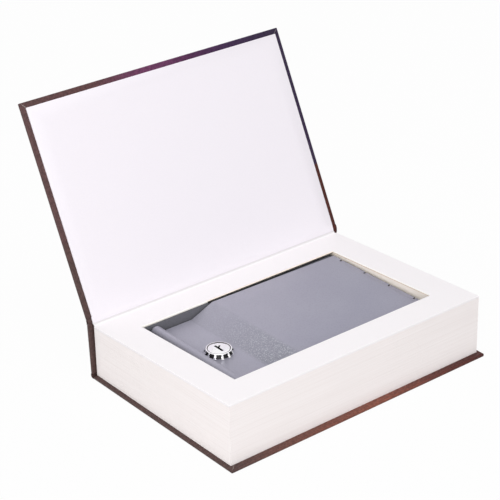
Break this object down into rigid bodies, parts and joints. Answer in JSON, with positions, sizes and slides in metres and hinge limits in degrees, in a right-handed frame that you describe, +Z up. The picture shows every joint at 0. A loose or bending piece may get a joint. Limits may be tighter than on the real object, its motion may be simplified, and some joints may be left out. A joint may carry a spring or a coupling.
{
  "type": "book diversion safe",
  "caption": "Hard-cover book with its pages cut out for a steel cash box whose hinged lid closes with a keyed cam lock.",
  "frame": {"origin": "centre of the underside of the back cover, which lies on the table", "axes": "+Z up from the back cover to the pages; +Y from the fore-edge of the pages to the spine; +X along the spine from the lock end to the lid hinge"},
  "size_m": [0.24, 0.2396, 0.1952],
  "materials": {
    "cover_wrap": "dark mottled printed paper, satin laminate, over grey board",
    "joint_cloth": "the same wrap, folded at the joint",
    "pages": "uncoated book paper, edges glued to a block",
    "white_paper": "smooth white endpaper",
    "lining": "plain cotton",
    "box_coat": "violet-grey hammered powder coat",
    "pad": "black foam",
    "lock_chrome": "bright chrome plate",
    "zinc_plate": "bright zinc plate",
    "steel": "plain drawn wire",
    "wafer_brass": "stamped brass"
  },
  "bodies": {
    "book": {"back_cover": "cover_wrap", "page_block": "pages", "top_card": "white_paper", "spine_lining": "lining", "box_body": "box_coat", "floor_pad": "pad", "strike": "zinc_plate", "hinge_pin": "steel"},
    "spine": {"rear_joint_cloth": "joint_cloth", "spine_board": "cover_wrap"},
    "cover": {"front_cover": "cover_wrap", "front_joint_cloth": "joint_cloth", "front_pastedown": "white_paper"},
    "lid": {"lid": "box_coat", "lock_housing": "lock_chrome", "lock_washer": "zinc_plate", "lock_nut": "zinc_plate"},
    "plug": {"lock_plug": "lock_chrome", "stop_washer": "zinc_plate", "lock_cam": "zinc_plate", "cam_washer": "zinc_plate", "cam_screw": "zinc_plate", "wafer_spring_1": "steel", "wafer_spring_2": "steel", "wafer_spring_3": "steel", "wafer_spring_4": "steel", "wafer_spring_5": "steel"},
    "wafer_1": {"wafer_1": "wafer_brass"},
    "wafer_2": {"wafer_2": "wafer_brass"},
    "wafer_3": {"wafer_3": "wafer_brass"},
    "wafer_4": {"wafer_4": "wafer_brass"},
    "wafer_5": {"wafer_5": "wafer_brass"}
  },
  "joints": [
    {"name": "spine_hinge", "type": "hinge", "parent": "book", "child": "spine", "pos_m": [0, 0.0837, 0.0016], "axis": [-1, 0, 0], "range_deg": [-2, 1.14]},
    {"name": "cover_hinge", "type": "hinge", "parent": "spine", "child": "cover", "pos_m": [0, 0.08524, 0.04582], "axis": [-1, 0, 0], "range_deg": [-111.2, 63.1]},
    {"name": "lid_hinge", "type": "hinge", "parent": "book", "child": "lid", "pos_m": [0.0873, 0.00235, 0.03895], "axis": [0, 1, 0], "range_deg": [0, 92]},
    {"name": "plug_turn", "type": "hinge", "parent": "lid", "child": "plug", "pos_m": [-0.0641, 0.00235, 0.03], "axis": [0, 0, 1], "range_deg": [0, 90]},
    {"name": "wafer_1_slide", "type": "slide", "parent": "plug", "child": "wafer_1", "axis": [0, -1, 0], "range_m": [-0.0009, 0]},
    {"name": "wafer_2_slide", "type": "slide", "parent": "plug", "child": "wafer_2", "axis": [0, -1, 0], "range_m": [-0.0009, 0]},
    {"name": "wafer_3_slide", "type": "slide", "parent": "plug", "child": "wafer_3", "axis": [0, -1, 0], "range_m": [-0.0009, 0]},
    {"name": "wafer_4_slide", "type": "slide", "parent": "plug", "child": "wafer_4", "axis": [0, -1, 0], "range_m": [-0.0009, 0]},
    {"name": "wafer_5_slide", "type": "slide", "parent": "plug", "child": "wafer_5", "axis": [0, -1, 0], "range_m": [-0.0009, 0]}
  ],
  "couplings": [
    {"joint": "spine_hinge", "follows": "cover_hinge", "ratio": 0.01798}
  ]
}
